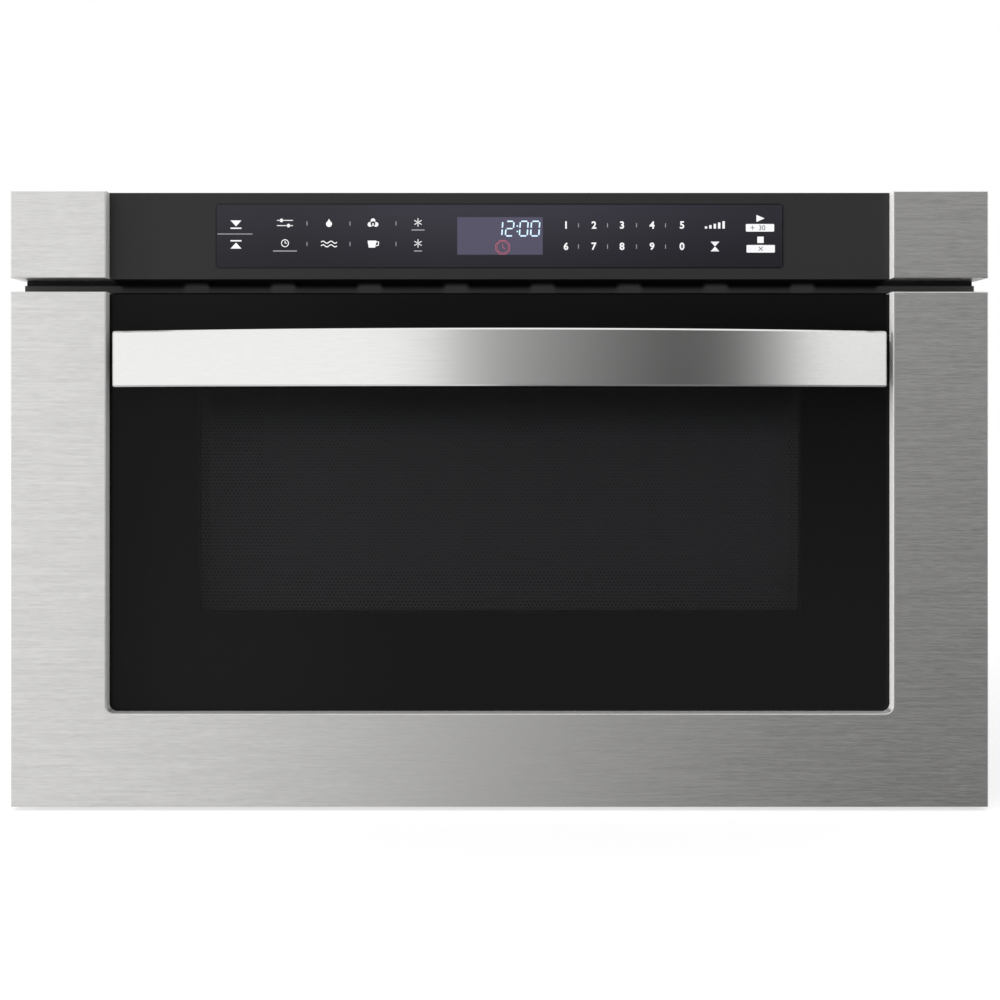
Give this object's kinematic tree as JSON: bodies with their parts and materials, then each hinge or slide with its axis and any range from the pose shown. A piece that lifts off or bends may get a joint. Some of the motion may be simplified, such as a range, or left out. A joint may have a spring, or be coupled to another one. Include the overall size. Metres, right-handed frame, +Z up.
{
  "type": "microwave drawer",
  "caption": "Built-in microwave oven drawer with a brushed steel face, dark glass, a bowed bar handle, touch controls, telescopic slides and a rack drive.",
  "frame": {"origin": "centre of the base's front edge, on the shelf and in the plane of the cabinet's front", "axes": "+X to the right as seen from the room, +Y back into the cabinet, +Z up; the drawer opens along -Y"},
  "size_m": [0.607, 0.6215, 0.385],
  "materials": {
    "brushed_steel": "horizontal brushed grain, satin",
    "polished_steel": "fine satin, close to polished",
    "black_glass": "glossy, dark tinted",
    "touch_glass": "glossy, dark violet tint",
    "clear_sheet": "clear",
    "black_plastic": "fine matt texture",
    "display_plastic": "glossy",
    "circuit_board": "solder mask over glass fibre",
    "black_steel": "black powder coat",
    "screen_steel": "black, finely perforated",
    "zinc_steel": "galvanised, pale spangle",
    "cavity_enamel": "pale grey enamel",
    "slide_steel": "bright zinc plate",
    "tray_plastic": "smooth moulded, pale grey",
    "gear_plastic": "natural acetal",
    "mica": "pressed mica, matt",
    "motor_steel": "plain steel case",
    "magnetron_metal": "pressed, plain",
    "core_iron": "varnished laminations",
    "aluminium_can": "drawn can",
    "bush_rubber": "matt black",
    "fan_plastic": "moulded"
  },
  "bodies": {
    "root": {"base_plate": "zinc_steel", "cavity_back": "cavity_enamel", "cavity_floor": "cavity_enamel", "cavity_wrap": "cavity_enamel", "control_board": "circuit_board", "control_housing": "black_plastic", "cord_bush": "bush_rubber", "display_module": "display_plastic", "drive_bracket": "zinc_steel", "drive_motor": "motor_steel", "end_cap_left": "brushed_steel", "end_cap_right": "brushed_steel", "fan_motor": "motor_steel", "fan_shroud": "fan_plastic", "front_frame": "black_steel", "hv_capacitor": "aluminium_can", "hv_transformer": "core_iron", "interlock_switches": "black_plastic", "magnetron": "magnetron_metal", "noise_filter": "circuit_board", "oven_lamp": "zinc_steel", "rear_panel": "zinc_steel", "side_panel_left": "zinc_steel", "side_panel_right": "zinc_steel", "slide_outer_left": "slide_steel", "slide_outer_right": "slide_steel", "stirrer_cover": "mica", "stirrer_motor": "motor_steel", "top_cover": "zinc_steel", "touch_glass": "touch_glass", "vent_strip": "black_plastic", "waveguide": "zinc_steel"},
    "drawer": {"drawer_face": "brushed_steel", "door_glass": "black_glass", "glass_carrier": "black_plastic", "window_screen": "screen_steel", "door_backplate": "black_steel", "choke_frame": "black_steel", "choke_cover": "black_plastic", "inner_window": "clear_sheet", "handle_bar": "polished_steel", "handle_posts": "black_plastic", "food_tray": "tray_plastic", "tray_glides": "gear_plastic", "carriage_arm_left": "zinc_steel", "carriage_arm_right": "zinc_steel", "rear_crossbar": "zinc_steel", "drive_rack": "gear_plastic", "latch_hooks": "black_plastic", "slide_inner_left": "slide_steel", "slide_inner_right": "slide_steel"},
    "slide_middle_left": {"slide_middle_left": "slide_steel"},
    "slide_middle_right": {"slide_middle_right": "slide_steel"},
    "ball_cages_outer": {"ball_cages_outer": "slide_steel"},
    "ball_cages_inner": {"ball_cages_inner": "slide_steel"},
    "drive_gear": {"drive_gear": "gear_plastic"},
    "motor_pinion": {"motor_pinion": "gear_plastic"},
    "cooling_fan": {"fan_blade": "fan_plastic"},
    "stirrer": {"stirrer_blade": "magnetron_metal"}
  },
  "joints": [
    {"name": "drawer_slide", "type": "slide", "parent": "root", "child": "drawer", "axis": [0, -1, 0], "range_m": [0, 0.38]},
    {"name": "slide_middle_left_run", "type": "slide", "parent": "root", "child": "slide_middle_left", "axis": [0, -1, 0], "range_m": [0, 0.19]},
    {"name": "slide_middle_right_run", "type": "slide", "parent": "root", "child": "slide_middle_right", "axis": [0, -1, 0], "range_m": [0, 0.19]},
    {"name": "ball_cages_outer_run", "type": "slide", "parent": "root", "child": "ball_cages_outer", "axis": [0, -1, 0], "range_m": [0, 0.095]},
    {"name": "ball_cages_inner_run", "type": "slide", "parent": "root", "child": "ball_cages_inner", "axis": [0, -1, 0], "range_m": [0, 0.285]},
    {"name": "drive_gear_spin", "type": "hinge", "parent": "root", "child": "drive_gear", "pos_m": [0, 0.04, 0.038], "axis": [1, 0, 0], "range_deg": [0, 1613]},
    {"name": "motor_pinion_spin", "type": "hinge", "parent": "root", "child": "motor_pinion", "pos_m": [0.01, 0.0835, 0.038], "axis": [1, 0, 0], "range_deg": [-3585, 0]},
    {"name": "cooling_fan_spin", "type": "hinge", "parent": "root", "child": "cooling_fan", "pos_m": [0.084, 0.484, 0.236], "axis": [1, 0, 0], "continuous": true},
    {"name": "stirrer_spin", "type": "hinge", "parent": "root", "child": "stirrer", "pos_m": [0, 0.21, 0.3], "axis": [0, 0, 1], "continuous": true}
  ],
  "couplings": [
    {"joint": "slide_middle_left_run", "follows": "drawer_slide", "ratio": 0.5},
    {"joint": "slide_middle_right_run", "follows": "drawer_slide", "ratio": 0.5},
    {"joint": "ball_cages_outer_run", "follows": "drawer_slide", "ratio": 0.25},
    {"joint": "ball_cages_inner_run", "follows": "drawer_slide", "ratio": 0.75},
    {"joint": "drive_gear_spin", "follows": "drawer_slide", "rad_per_m": 74.074},
    {"joint": "motor_pinion_spin", "follows": "drawer_slide", "rad_per_m": -164.61}
  ]
}
